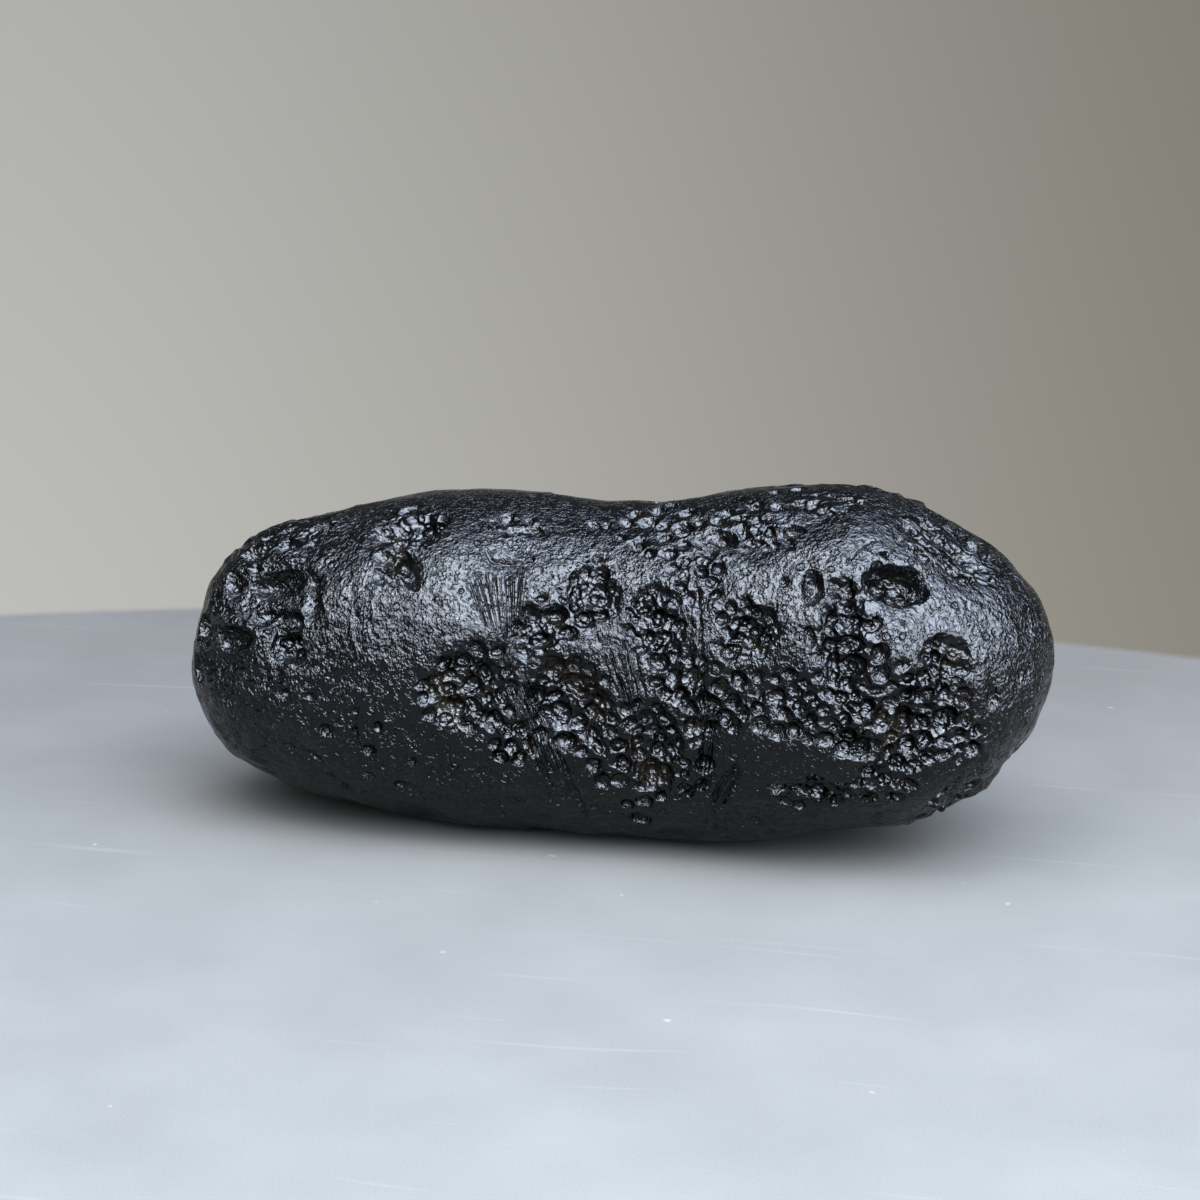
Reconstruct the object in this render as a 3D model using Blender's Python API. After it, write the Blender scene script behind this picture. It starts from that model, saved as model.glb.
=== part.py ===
"""An elongated, slightly waisted tektite: one solid lump of natural black glass lying on its belly.

The stone lies along X. Its broader, higher end is at +X, its pitted show side faces -Y, and +Z is up.
The origin is under the middle of its bounding box, on the surface that it rests on.
"""

import math

import bmesh
import bpy
import numpy as np
from mathutils import Matrix, Vector, noise

MM = 0.001

# Driving dimensions, in metres: the stone's bounding box, and the worn flat that it rests on.
LENGTH = 75.0 * MM
DEPTH = 29.0 * MM
HEIGHT = 31.5 * MM
BELLY_FLAT = 0.42 * MM  # thickness worn off the underside, which leaves a flat about 5 mm wide

# Sections from the narrow end (-X) to the broad end (+X), in millimetres.
# Each is (top x, top z), (bottom x, bottom z), half depth towards -Y, half depth towards +Y.
SECTIONS = [
    ((-37.5, 11.3), (-37.5, 11.3), 0.0, 0.0),
    ((-37.1, 15.4), (-36.0, 8.0), 5.5, 5.3),
    ((-36.0, 19.6), (-34.2, 5.2), 8.1, 7.8),
    ((-34.0, 23.1), (-31.8, 3.5), 10.2, 9.9),
    ((-31.0, 25.3), (-28.9, 2.8), 11.8, 11.5),
    ((-26.9, 26.3), (-25.2, 1.7), 12.9, 12.7),
    ((-22.0, 27.4), (-20.8, 1.0), 13.6, 13.4),
    ((-17.0, 28.7), (-16.0, 0.4), 13.9, 13.8),
    ((-12.0, 29.4), (-11.0, 0.0), 13.8, 13.7),
    ((-6.5, 29.2), (-6.0, 0.0), 13.5, 13.4),
    ((-1.0, 28.9), (-0.5, 0.0), 13.2, 13.2),
    ((4.5, 29.5), (4.5, 0.0), 13.3, 13.3),
    ((10.0, 30.6), (9.5, 0.1), 13.8, 13.8),
    ((15.5, 31.3), (14.5, 1.0), 14.4, 14.3),
    ((20.5, 31.5), (19.5, 2.3), 14.7, 14.5),
    ((25.0, 30.4), (24.3, 2.9), 14.3, 14.0),
    ((28.8, 28.3), (28.6, 3.9), 13.1, 12.8),
    ((32.2, 26.4), (32.1, 6.2), 11.2, 10.9),
    ((35.1, 23.8), (34.8, 9.4), 8.5, 8.3),
    ((36.9, 20.8), (36.6, 12.5), 5.2, 5.1),
    ((37.5, 17.0), (37.5, 17.0), 0.0, 0.0),
]
SECTION_FULLNESS = 0.94  # below 1 fills each ellipse out a little towards a rounded rectangle
RINGS_PER_SECTION = 5
POINTS_PER_RING = 72

# The net of even faces that the hollows are pressed into.
NET_SIZE = 1.42 * MM

# Broad swells and dips of the whole surface: (size of a swell, height), in metres.
SWELLS = [(11.0 * MM, 0.32 * MM), (4.5 * MM, 0.13 * MM)]
SWELL_SHIFT = Vector((3.7, 1.9, 8.2))

# Hollows. "Along" and "up" place the centre as seen from that side, in millimetres: on the front and back
# they are x and z, and on the top and underside x and y. Length, width and depth are in millimetres, and
# turn is the angle of the length from +X, in degrees.
# side, along, up, length, width, turn, depth
HOLLOWS = [
    ("front", -30.0, 24.4, 5.2, 3.4, 10, 0.8),
    ("front", -25.8, 22.6, 6.0, 3.4, 10, 0.8),
    ("front", -29.4, 20.8, 5.0, 3.8, -20, 0.6),
    ("front", -26.6, 19.2, 5.0, 3.6, 60, 0.6),
    ("front", -31.6, 16.2, 6.0, 3.6, 60, 0.7),
    ("front", -19.6, 9.8, 5.0, 3.2, -30, 0.4),
    ("front", -16.9, 27.2, 5.8, 3.4, 5, 0.9),
    ("front", -16.4, 24.9, 5.2, 2.4, -60, 0.9),
    ("front", -7.5, 25.8, 4.6, 2.6, 0, 0.4),
    ("front", -10.6, 15.6, 6.4, 4.8, 30, 0.6),
    ("front", -1.6, 14.6, 10.5, 8.0, -40, 0.7),
    ("front", -0.6, 23.6, 4.8, 4.6, 0, 0.7),
    ("front", -4.2, 20.4, 5.2, 3.4, 50, 0.6),
    ("front", 6.3, 20.0, 8.0, 4.8, 85, 0.7),
    ("front", 6.5, 10.6, 6.0, 4.4, 100, 0.5),
    ("front", 12.7, 21.8, 4.8, 4.6, 0, 0.8),
    ("front", 12.6, 28.2, 6.4, 4.0, 10, 0.8),
    ("front", 10.4, 11.0, 14.0, 2.4, 88, 0.6),
    ("front", 17.2, 29.9, 5.6, 2.8, 5, 0.6),
    ("front", 18.1, 25.2, 4.2, 2.4, 85, 0.9),
    ("front", 24.6, 25.7, 5.6, 3.4, -10, 1.2),
    ("front", 21.2, 19.4, 9.0, 3.8, 105, 0.8),
    ("front", 15.4, 16.8, 7.5, 4.0, 10, 0.6),
    ("front", 26.4, 15.0, 11.0, 7.5, 70, 0.8),
    ("front", 31.4, 14.6, 4.2, 2.8, 80, 0.6),
    ("front", 18.4, 7.8, 7.0, 3.0, 5, 0.6),
    ("front", 29.4, 26.2, 7.0, 3.2, -30, 0.8),
    ("back", -27.0, 17.5, 8.5, 5.5, 30, 0.9),
    ("back", -14.0, 21.0, 6.0, 4.2, -15, 0.7),
    ("back", -9.0, 12.0, 9.5, 6.5, 15, 0.8),
    ("back", 3.5, 19.0, 5.2, 4.6, 0, 0.8),
    ("back", 8.0, 9.0, 11.0, 3.6, 75, 0.7),
    ("back", 18.0, 22.5, 7.5, 5.0, -35, 1.0),
    ("back", 22.5, 13.0, 9.0, 7.0, 20, 0.8),
    ("back", 31.0, 18.0, 4.6, 3.4, 60, 0.7),
    ("top", -24.0, 3.5, 6.5, 4.0, 20, 0.7),
    ("top", -8.0, 6.0, 5.0, 3.4, -30, 0.6),
    ("top", 3.5, 2.0, 8.0, 3.6, 82, 0.5),
    ("top", 20.0, 5.5, 6.0, 4.4, 15, 0.8),
    ("top", 29.6, 1.0, 6.6, 3.2, 75, 0.8),
    ("underside", -27.0, 2.0, 7.0, 5.0, 10, 0.8),
    ("underside", -15.0, -7.5, 6.0, 4.0, -20, 0.6),
    ("underside", 5.0, 8.0, 7.0, 4.4, 25, 0.7),
    ("underside", 20.5, -2.0, 8.0, 5.4, -10, 0.8),
]

# For each side: the direction out of it, the direction called "along", and the one called "up".
SIDES = {
    "front": (Vector((0, -1, 0)), Vector((1, 0, 0)), Vector((0, 0, 1))),
    "back": (Vector((0, 1, 0)), Vector((1, 0, 0)), Vector((0, 0, 1))),
    "top": (Vector((0, 0, 1)), Vector((1, 0, 0)), Vector((0, 1, 0))),
    "underside": (Vector((0, 0, -1)), Vector((1, 0, 0)), Vector((0, 1, 0))),
}

BLACK_GLASS = (0.012, 0.012, 0.013, 1.0)
GLASS_ROUGHNESS = 0.3


def clear_scene():
    for obj in list(bpy.data.objects):
        bpy.data.objects.remove(obj)


def across_tip(row):
    """The section next to a tip, turned over, as if the body went on through the tip and out of its other side."""
    return np.array([*row[2:4], *row[0:2], -row[4], -row[5]])


def section_numbers():
    """The sections as rows of numbers, in metres, with one more past each tip, so that the ends come out round."""
    rows = np.array([[*top, *bottom, front, back] for top, bottom, front, back in SECTIONS]) * MM
    return np.vstack([across_tip(rows[1]), rows, across_tip(rows[-2])])


def smooth_section(rows, span, share):
    """The Catmull-Rom blend of the sections around span, at share of the way along it."""
    before, start, end, after = rows[span : span + 4]
    t = share
    return 0.5 * (
        2 * start
        + (end - before) * t
        + (2 * before - 5 * start + 4 * end - after) * t**2
        + (3 * start - before - 3 * end + after) * t**3
    )


def ring_points(section):
    """The closed curve of one section: an ellipse through its top, front, bottom and back points."""
    top = Vector((section[0], 0, section[1]))
    bottom = Vector((section[2], 0, section[3]))
    middle, rise = (top + bottom) / 2, (top - bottom) / 2
    points = []
    for i in range(POINTS_PER_RING):
        angle = math.tau * i / POINTS_PER_RING
        across, upward = (
            math.copysign(abs(v) ** SECTION_FULLNESS, v) for v in (math.cos(angle), math.sin(angle))
        )
        reach = section[4] if across > 0 else section[5]
        points.append(middle + rise * upward + Vector((0, -across * reach, 0)))
    return points


def loft_body():
    """The smooth body: a tip, rings along the length, and the other tip."""
    rows = section_numbers()
    bm = bmesh.new()
    spans = len(SECTIONS) - 1
    shares = [i / RINGS_PER_SECTION for i in range(1, spans * RINGS_PER_SECTION)]
    rings = [
        [bm.verts.new(p) for p in ring_points(smooth_section(rows, int(s), s % 1))] for s in shares
    ]
    for ring, following in zip(rings, rings[1:]):
        for i in range(POINTS_PER_RING):
            j = (i + 1) % POINTS_PER_RING
            bm.faces.new((ring[i], ring[j], following[j], following[i]))
    for ring, section in ((rings[0], SECTIONS[0]), (rings[-1], SECTIONS[-1])):
        (x, z), *_ = section
        tip = bm.verts.new((x * MM, 0, z * MM))
        for i in range(POINTS_PER_RING):
            bm.faces.new((tip, ring[i], ring[(i + 1) % POINTS_PER_RING]))
    bmesh.ops.recalc_face_normals(bm, faces=bm.faces)
    mesh = bpy.data.meshes.new("tektite")
    bm.to_mesh(mesh)
    bm.free()
    obj = bpy.data.objects.new("tektite", mesh)
    bpy.context.scene.collection.objects.link(obj)
    return obj


def even_net(obj):
    """Rebuilds the surface as a net of faces of one size."""
    remesh = obj.modifiers.new("even net", "REMESH")
    remesh.mode = "VOXEL"
    remesh.voxel_size = NET_SIZE
    bpy.context.view_layer.objects.active = obj
    bpy.ops.object.modifier_apply(modifier=remesh.name)


def swell(obj):
    """Raises and lowers the surface along its normals in broad, soft waves."""
    normals = [v.normal.copy() for v in obj.data.vertices]
    for vertex, normal in zip(obj.data.vertices, normals):
        at = vertex.co.copy()
        for size, height in SWELLS:
            vertex.co += normal * height * noise.noise(at / size + SWELL_SHIFT)


def press_hollow(obj, side, along, up, length, width, turn, depth):
    """Presses one oval hollow into the surface, deepest in its middle and fading out at its rim."""
    outward, along_axis, up_axis = SIDES[side]
    start = along_axis * along * MM + up_axis * up * MM + outward * LENGTH
    hit, centre, normal, _ = obj.ray_cast(start, -outward)
    if not hit:
        raise ValueError(f"the hollow on the {side} at {along}, {up} misses the stone")
    long_axis = along_axis * math.cos(math.radians(turn)) + up_axis * math.sin(math.radians(turn))
    long_axis = (long_axis - normal * long_axis.dot(normal)).normalized()
    wide_axis = normal.cross(long_axis)
    reach = length * MM / 2
    for vertex in obj.data.vertices:
        offset = vertex.co - centre
        if offset.length > 1.5 * reach:
            continue
        rim_share = math.hypot(
            offset.dot(long_axis) / reach, offset.dot(wide_axis) / (width * MM / 2)
        )
        if rim_share < 1:
            vertex.co -= normal * depth * MM * (1 - rim_share**2) ** 1.5


def wear_belly_flat(obj):
    """Levels the lowest part of the underside, which the stone rests on."""
    lowest = min(v.co.z for v in obj.data.vertices)
    for vertex in obj.data.vertices:
        vertex.co.z = max(vertex.co.z, lowest + BELLY_FLAT)


def fit_to_box(obj):
    """Brings the stone to its driving dimensions, with the origin under the middle of its box."""
    points = np.array([v.co for v in obj.data.vertices])
    low, high = points.min(axis=0), points.max(axis=0)
    stretch = np.array([LENGTH, DEPTH, HEIGHT]) / (high - low)
    origin = Vector(((low[0] + high[0]) / 2, (low[1] + high[1]) / 2, low[2]))
    obj.data.transform(Matrix.Diagonal((*stretch, 1)) @ Matrix.Translation(-origin))


def black_glass():
    material = bpy.data.materials.new("black_glass")
    material.use_nodes = True
    shader = material.node_tree.nodes["Principled BSDF"]
    shader.inputs["Base Color"].default_value = BLACK_GLASS
    shader.inputs["Roughness"].default_value = GLASS_ROUGHNESS
    shader.inputs["Metallic"].default_value = 0.0
    return material


def main():
    clear_scene()
    stone = loft_body()
    even_net(stone)
    swell(stone)
    for hollow in HOLLOWS:
        press_hollow(stone, *hollow)
    wear_belly_flat(stone)
    fit_to_box(stone)
    stone.data.shade_smooth()
    stone.data.materials.append(black_glass())


main()
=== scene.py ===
"""Looks of the tektite: its pitted, flow-lined skin of black glass, on a plain pale table in soft light.

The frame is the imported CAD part: the stone lies along X with its broad end at +X, its show side faces -Y,
and the table is z = 0. Sizes here are millimetres unless a comment says otherwise, and meshes are in metres.
"""

import math

import bmesh
import bpy
import numpy as np
from mathutils import Matrix, Vector
from mathutils.bvhtree import BVHTree


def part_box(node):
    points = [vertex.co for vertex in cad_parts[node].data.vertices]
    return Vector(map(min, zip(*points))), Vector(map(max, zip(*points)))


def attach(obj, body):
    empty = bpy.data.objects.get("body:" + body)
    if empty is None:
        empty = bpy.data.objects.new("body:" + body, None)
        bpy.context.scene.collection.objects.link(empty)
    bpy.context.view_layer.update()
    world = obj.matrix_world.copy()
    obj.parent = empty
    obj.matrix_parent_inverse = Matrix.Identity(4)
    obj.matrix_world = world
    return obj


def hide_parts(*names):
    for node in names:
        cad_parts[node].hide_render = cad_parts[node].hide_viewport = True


MM = 0.001

# The photograph's camera. Pixels are in its 1200 x 1200 frame.
PHOTO_SIZE = 1200
LENS, SENSOR = 85.0, 36.0
DISTANCE = 245.7
STONE_MIDDLE = Vector((0.0, 0.0, 15.7))
STONE_MIDDLE_PIXEL = (616.3, 653.5)
FOCAL_PIXELS = PHOTO_SIZE * LENS / SENSOR

# The stone's mesh: the spacing of its coarse net, how often that is split, and how many triangles are kept,
# in all and on the sides that the photograph doesn't show.
COARSE_NET = 0.9
FINE_LEVELS = 3
MOST_TRIANGLES = 196_000
HIDDEN_TRIANGLES = 72_000
STONE_SEED = 11

# Soft noise: its strength, the size of its waves, and its seed. It warps the places where marks are pressed,
# so that no bowl is a plain oval, and it swells the skin.
WARPS = [(0.09, 0.8, 10), (0.26, 2.6, 20)]
SKIN_WAVES = [(0.16, 5.0, 1), (0.08, 2.4, 2), (0.045, 1.2, 4)]

# Crowded bowls, in pixels: the smallest, and what the largest of a patch measures at least.
SMALLEST_BOWL, LARGE_BOWL = 13, 23
# How often bowls are tried, how rare large ones are, how near two middles may come, as a share of the sum of
# their widths, and how much wider each is pressed, so that neighbours meet in a sharp wall.
CROWD_TRIES, FEW_LARGE, CROWD_SPACING, CROWD_OVERLAP = 9, 1.4, 0.43, 1.12
# Bowls read off the photograph are pressed deeper than they look, because soft light flattens them.
DEEPER = 1.3
# The depth from which a mark counts as wholly deep.
DEEP = 0.8
CREASE_WIDTH, CREASE_DEPTH = 0.7, 0.32
# How far past its corners a fan's pixels are looked for, and how far apart two fans' patterns are.
FAN_MARGIN, FANS_APART = 5, 0.37

# Hollows of the show side, read off the photograph. Positions and sizes are in its pixels:
# x, y, length, width, turn in degrees (anticlockwise from the right), depth as a share of the width.
GOUGES = [
    (262, 590, 140, 64, 0, 0.13),
    (203, 606, 60, 100, 0, 0.18),
    (257, 552, 34, 26, 20, 0.20),
    (272, 583, 74, 38, 4, 0.50),
    (312, 600, 22, 46, 0, 0.34),
    (276, 619, 62, 30, -8, 0.44),
    (231, 588, 26, 46, 12, 0.42),
    (286, 650, 44, 34, -10, 0.36),
    (236, 640, 52, 30, 10, 0.40),
    (420, 528, 56, 38, 5, 0.22),
    (406, 570, 62, 26, -56, 0.44),
    (380, 577, 22, 22, 0, 0.26),
    (467, 692, 88, 80, 20, 0.11),
    (594, 598, 60, 64, 0, 0.08),
    (545, 632, 60, 40, 20, 0.12),
    (568, 705, 92, 86, -50, 0.11),
    (655, 622, 50, 74, 0, 0.12),
    (682, 697, 34, 20, 30, 0.25),
    (722, 540, 40, 28, -40, 0.34),
    (787, 543, 14, 30, 30, 0.36),
    (755, 630, 56, 52, 0, 0.20),
    (812, 589, 42, 23, 105, 0.46),
    (897, 586, 74, 44, -8, 0.46),
    (921, 579, 34, 14, -42, 0.40),
    (950, 660, 60, 52, 20, 0.12),
    (840, 672, 100, 34, 100, 0.20),
    (857, 749, 60, 30, -20, 0.24),
    (912, 735, 110, 50, 70, 0.18),
    (950, 715, 56, 74, 30, 0.10),
    (812, 792, 84, 26, 4, 0.22),
    (885, 780, 60, 40, 30, 0.18),
    (655, 778, 50, 36, -60, 0.24),
    (655, 740, 90, 60, -70, 0.14),
    (955, 552, 96, 34, -30, 0.18),
    (935, 522, 22, 12, -40, 0.40),
    (204, 628, 28, 32, 0, 0.40),
    (200, 668, 24, 30, 0, 0.40),
    (938, 508, 30, 14, -30, 0.34),
    (850, 610, 34, 74, 10, 0.26),
]
# Notches in the outline at the upper right, in the same terms as seen from high above.
EDGE_GOUGES = [
    (945, 634, 26, 90, 0, 0.34),
    (969, 654, 17, 60, 0, 0.32),
    (991, 672, 15, 60, 0, 0.32),
    (1009, 690, 18, 60, 0, 0.28),
]
# Bubble pits, in the same terms.
BOWLS = [
    # the left end
    (290, 530, 12, 10, 0, 0.30),
    (312, 541, 16, 13, 30, 0.30),
    (330, 527, 14, 11, 0, 0.30),
    (317, 580, 13, 12, 0, 0.30),
    (297, 622, 15, 22, 0, 0.28),
    (285, 696, 13, 12, 0, 0.28),
    (310, 697, 9, 8, 0, 0.28),
    (327, 732, 16, 15, 0, 0.30),
    (355, 735, 26, 9, 80, 0.30),
    (357, 712, 11, 10, 0, 0.28),
    (380, 727, 14, 12, 60, 0.30),
    (370, 752, 16, 14, 0, 0.30),
    (290, 750, 12, 9, -30, 0.24),
    (314, 759, 24, 9, -48, 0.28),
    (332, 779, 15, 9, -20, 0.28),
    (350, 790, 16, 9, -10, 0.30),
    (370, 777, 13, 10, 0, 0.28),
    (402, 787, 13, 11, 0, 0.28),
    (412, 762, 12, 10, 0, 0.26),
    # the upper left
    (417, 507, 16, 11, 0, 0.26),
    (404, 530, 16, 12, 70, 0.22),
    (428, 538, 20, 12, 40, 0.22),
    (517, 532, 17, 14, 0, 0.26),
    (528, 531, 10, 9, 0, 0.30),
    (531, 522, 12, 11, 0, 0.26),
    (495, 521, 9, 8, 0, 0.24),
    (595, 527, 18, 20, 0, 0.26),
    (607, 527, 12, 14, 0, 0.26),
    (520, 553, 7, 7, 0, 0.30),
    (526, 556, 7, 6, 0, 0.30),
    (532, 559, 8, 6, -20, 0.30),
    (511, 549, 6, 6, 0, 0.26),
    (527, 590, 6, 6, 0, 0.30),
    # the round cluster and the chain that leads to it
    (577, 577, 14, 11, 40, 0.34),
    (588, 572, 14, 11, 15, 0.34),
    (605, 575, 18, 16, 0, 0.36),
    (576, 591, 18, 22, 0, 0.36),
    (602, 597, 22, 25, 10, 0.32),
    (587, 621, 26, 20, 20, 0.32),
    (603, 616, 16, 16, 0, 0.34),
    (564, 599, 12, 12, 0, 0.34),
    (560, 590, 7, 7, 0, 0.32),
    (613, 589, 8, 9, 0, 0.32),
    (620, 591, 9, 9, 0, 0.32),
    (600, 560, 13, 9, 0, 0.30),
    (532, 615, 20, 21, 0, 0.38),
    (520, 625, 10, 10, 0, 0.34),
    (559, 616, 24, 24, 0, 0.36),
    (543, 600, 12, 9, 0, 0.32),
    (517, 640, 15, 10, 20, 0.34),
    (542, 643, 26, 17, 20, 0.36),
    (571, 637, 24, 15, 0, 0.40),
    (500, 652, 18, 12, 20, 0.34),
    (480, 652, 22, 17, -20, 0.36),
    # the left cluster
    (445, 665, 20, 17, 20, 0.34),
    (465, 667, 22, 19, 20, 0.36),
    (440, 681, 14, 13, 0, 0.34),
    (452, 677, 12, 12, 0, 0.32),
    (484, 676, 17, 24, 10, 0.34),
    (435, 693, 13, 13, 0, 0.34),
    (451, 692, 16, 15, 0, 0.34),
    (425, 699, 12, 14, 0, 0.34),
    (455, 708, 20, 23, 0, 0.40),
    (445, 721, 14, 13, 0, 0.34),
    (470, 704, 13, 12, 0, 0.34),
    (478, 715, 11, 10, 0, 0.32),
    (486, 702, 14, 13, 0, 0.34),
    (500, 700, 17, 22, 10, 0.34),
    (508, 712, 14, 13, 0, 0.34),
    (467, 729, 18, 10, -10, 0.30),
    (506, 732, 14, 16, 0, 0.34),
    (519, 731, 16, 20, 20, 0.34),
    (531, 748, 27, 15, -64, 0.34),
    # the pitted middle
    (555, 670, 26, 24, 0, 0.24),
    (573, 688, 26, 22, 0, 0.26),
    (545, 682, 14, 13, 0, 0.30),
    (581, 698, 15, 13, 0, 0.30),
    (556, 700, 16, 14, 0, 0.28),
    (580, 728, 20, 18, 0, 0.30),
    (566, 743, 24, 18, 10, 0.34),
    (596, 745, 34, 18, -62, 0.36),
    (581, 752, 14, 13, 0, 0.32),
    (610, 705, 11, 10, 0, 0.30),
    (602, 722, 12, 12, 0, 0.30),
    (624, 766, 20, 20, 0, 0.38),
    (652, 777, 21, 28, 10, 0.36),
    (642, 788, 14, 13, 0, 0.34),
    (666, 775, 14, 14, 0, 0.34),
    (685, 762, 17, 16, 0, 0.34),
    (637, 706, 14, 12, 0, 0.30),
    (657, 711, 12, 12, 0, 0.30),
    (640, 735, 12, 12, 0, 0.32),
    (660, 745, 13, 12, 0, 0.32),
    (672, 732, 12, 13, 0, 0.32),
    # the oval ring
    (645, 594, 14, 10, 25, 0.36),
    (657, 589, 14, 11, 0, 0.36),
    (668, 597, 13, 17, 0, 0.36),
    (676, 602, 12, 20, 0, 0.32),
    (692, 600, 10, 20, 0, 0.32),
    (637, 602, 10, 10, 0, 0.34),
    (630, 611, 10, 10, 0, 0.34),
    (637, 621, 10, 11, 0, 0.34),
    (646, 611, 11, 11, 0, 0.34),
    (660, 620, 17, 22, 0, 0.38),
    (641, 640, 13, 12, 0, 0.34),
    (652, 637, 14, 18, 0, 0.34),
    (671, 620, 12, 13, 0, 0.34),
    (681, 628, 13, 16, 0, 0.32),
    (662, 650, 13, 13, 0, 0.32),
    (675, 656, 15, 20, 10, 0.30),
    # the upper middle and the fold
    (784, 582, 13, 12, 0, 0.24),
    (770, 548, 20, 13, 10, 0.32),
    (744, 532, 12, 22, 20, 0.26),
    (757, 545, 20, 10, 10, 0.26),
    (802, 505, 14, 12, 0, 0.32),
    (813, 507, 16, 13, 0, 0.34),
    (828, 512, 17, 11, -10, 0.34),
    (845, 510, 16, 13, 0, 0.34),
    (831, 495, 12, 8, 0, 0.30),
    (815, 495, 10, 7, 0, 0.30),
    # the round crater's own bowls
    (770, 616, 14, 20, 0, 0.30),
    (757, 612, 12, 10, 0, 0.30),
    (744, 622, 13, 12, 0, 0.30),
    (740, 638, 14, 12, 0, 0.30),
    (755, 632, 13, 13, 0, 0.30),
    (768, 640, 14, 13, 0, 0.30),
    (753, 648, 12, 10, 0, 0.28),
    (722, 645, 12, 10, 0, 0.28),
    (728, 628, 10, 9, 0, 0.28),
    # the chain down the right
    (834, 600, 12, 15, 0, 0.36),
    (832, 621, 18, 20, 0, 0.38),
    (811, 640, 14, 24, 0, 0.32),
    (850, 584, 10, 10, 0, 0.32),
    (853, 593, 11, 11, 0, 0.32),
    (851, 606, 15, 15, 0, 0.34),
    (858, 620, 14, 14, 0, 0.34),
    (846, 617, 9, 9, 0, 0.32),
    (853, 646, 28, 19, 10, 0.40),
    (856, 667, 27, 24, 0, 0.34),
    (882, 654, 23, 23, 0, 0.32),
    (885, 672, 22, 21, 0, 0.32),
    (837, 668, 15, 34, 0, 0.34),
    (881, 692, 20, 12, -20, 0.44),
    (860, 697, 14, 14, 0, 0.34),
    (843, 700, 14, 18, 0, 0.34),
    (790, 675, 16, 13, 0, 0.34),
    (803, 683, 14, 12, 0, 0.34),
    (776, 680, 11, 10, 0, 0.30),
    (762, 697, 8, 18, 0, 0.32),
    (783, 713, 14, 13, 0, 0.30),
    (796, 730, 17, 19, 0, 0.32),
    (809, 741, 15, 14, 0, 0.32),
    (845, 722, 15, 15, 0, 0.34),
    (825, 742, 20, 16, 0, 0.34),
    (842, 753, 20, 17, 0, 0.34),
    (862, 751, 24, 20, 40, 0.40),
    # the right end
    (925, 680, 16, 20, 0, 0.38),
    (912, 681, 14, 13, 0, 0.34),
    (940, 658, 16, 16, 0, 0.30),
    (953, 664, 14, 14, 0, 0.32),
    (960, 650, 15, 18, 0, 0.30),
    (948, 676, 14, 12, 0, 0.30),
    (910, 700, 18, 17, 0, 0.38),
    (922, 701, 12, 11, 0, 0.34),
    (967, 700, 24, 27, 0, 0.38),
    (950, 720, 26, 26, 0, 0.36),
    (970, 722, 12, 20, 0, 0.34),
    (995, 697, 14, 22, 0, 0.26),
    (907, 725, 24, 24, 0, 0.38),
    (912, 748, 20, 19, 0, 0.36),
    (930, 742, 15, 15, 0, 0.34),
    (975, 751, 20, 16, 0, 0.36),
    (961, 753, 14, 13, 0, 0.34),
    (945, 757, 16, 15, 0, 0.34),
    (900, 770, 20, 23, 20, 0.40),
    (870, 776, 21, 22, 0, 0.36),
    (887, 787, 16, 15, 0, 0.34),
    (917, 772, 18, 14, 30, 0.34),
    (780, 790, 18, 16, 0, 0.34),
    (799, 793, 16, 14, 0, 0.34),
    (817, 796, 16, 13, 0, 0.34),
    (837, 786, 24, 6, -8, 0.60),
    (850, 798, 16, 14, 0, 0.34),
    (886, 555, 9, 8, 0, 0.90),
    (902, 540, 9, 8, 0, 0.34),
    (908, 527, 12, 20, -20, 0.28),
    (921, 536, 14, 12, 0, 0.30),
    (942, 537, 17, 14, 0, 0.34),
    (927, 545, 16, 10, -30, 0.36),
    (952, 567, 22, 8, -38, 0.44),
    (985, 576, 28, 7, -24, 0.44),
    (992, 557, 13, 13, 0, 0.30),
    (963, 554, 19, 15, -20, 0.30),
    (975, 564, 14, 11, 0, 0.30),
    (909, 576, 24, 22, -40, 0.34),
    (882, 584, 22, 20, 0, 0.28),
    (870, 578, 13, 12, 0, 0.28),
]

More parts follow.
